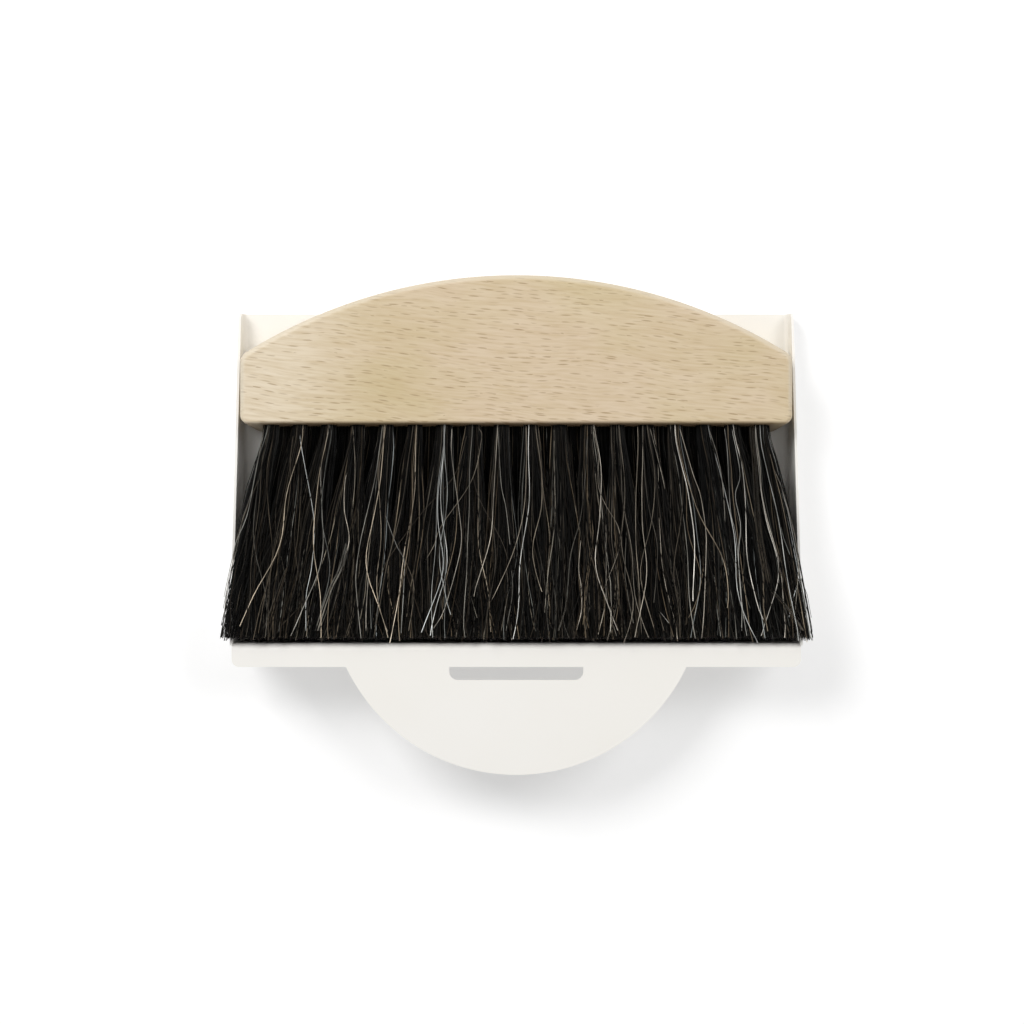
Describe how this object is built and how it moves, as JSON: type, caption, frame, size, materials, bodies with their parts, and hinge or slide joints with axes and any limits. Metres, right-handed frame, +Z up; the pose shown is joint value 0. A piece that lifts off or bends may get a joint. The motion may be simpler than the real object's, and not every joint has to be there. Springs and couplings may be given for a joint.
{
  "type": "dustpan and brush",
  "caption": "Folded sheet-steel dustpan with a slotted half-round handle, holding a wooden hand brush with an arched back and dark bristles.",
  "frame": {"origin": "middle of the whole set in plan, at the height of the surface that it stands on", "axes": "+X across the pan to the right, +Y from the handle towards the lip, +Z up"},
  "size_m": [0.2326, 0.201, 0.0371],
  "materials": {
    "powder_coated_steel": "off-white powder coat, satin",
    "beech": "sanded and oiled, matt",
    "nickel_plated_magnet": "nickel plated",
    "horsehair": "natural hair, dark with pale strays"
  },
  "bodies": {
    "pan": {"dustpan_sheet": "powder_coated_steel"},
    "brush": {"brush_block": "beech", "magnet_left": "nickel_plated_magnet", "magnet_right": "nickel_plated_magnet", "bristle_row_1": "horsehair", "bristle_row_2": "horsehair", "bristle_row_3": "horsehair", "bristle_row_4": "horsehair"}
  },
  "joints": [
    {"name": "brush_lift", "type": "slide", "parent": "pan", "child": "brush", "axis": [0, 0, 1], "range_m": [0, 0.07]}
  ]
}
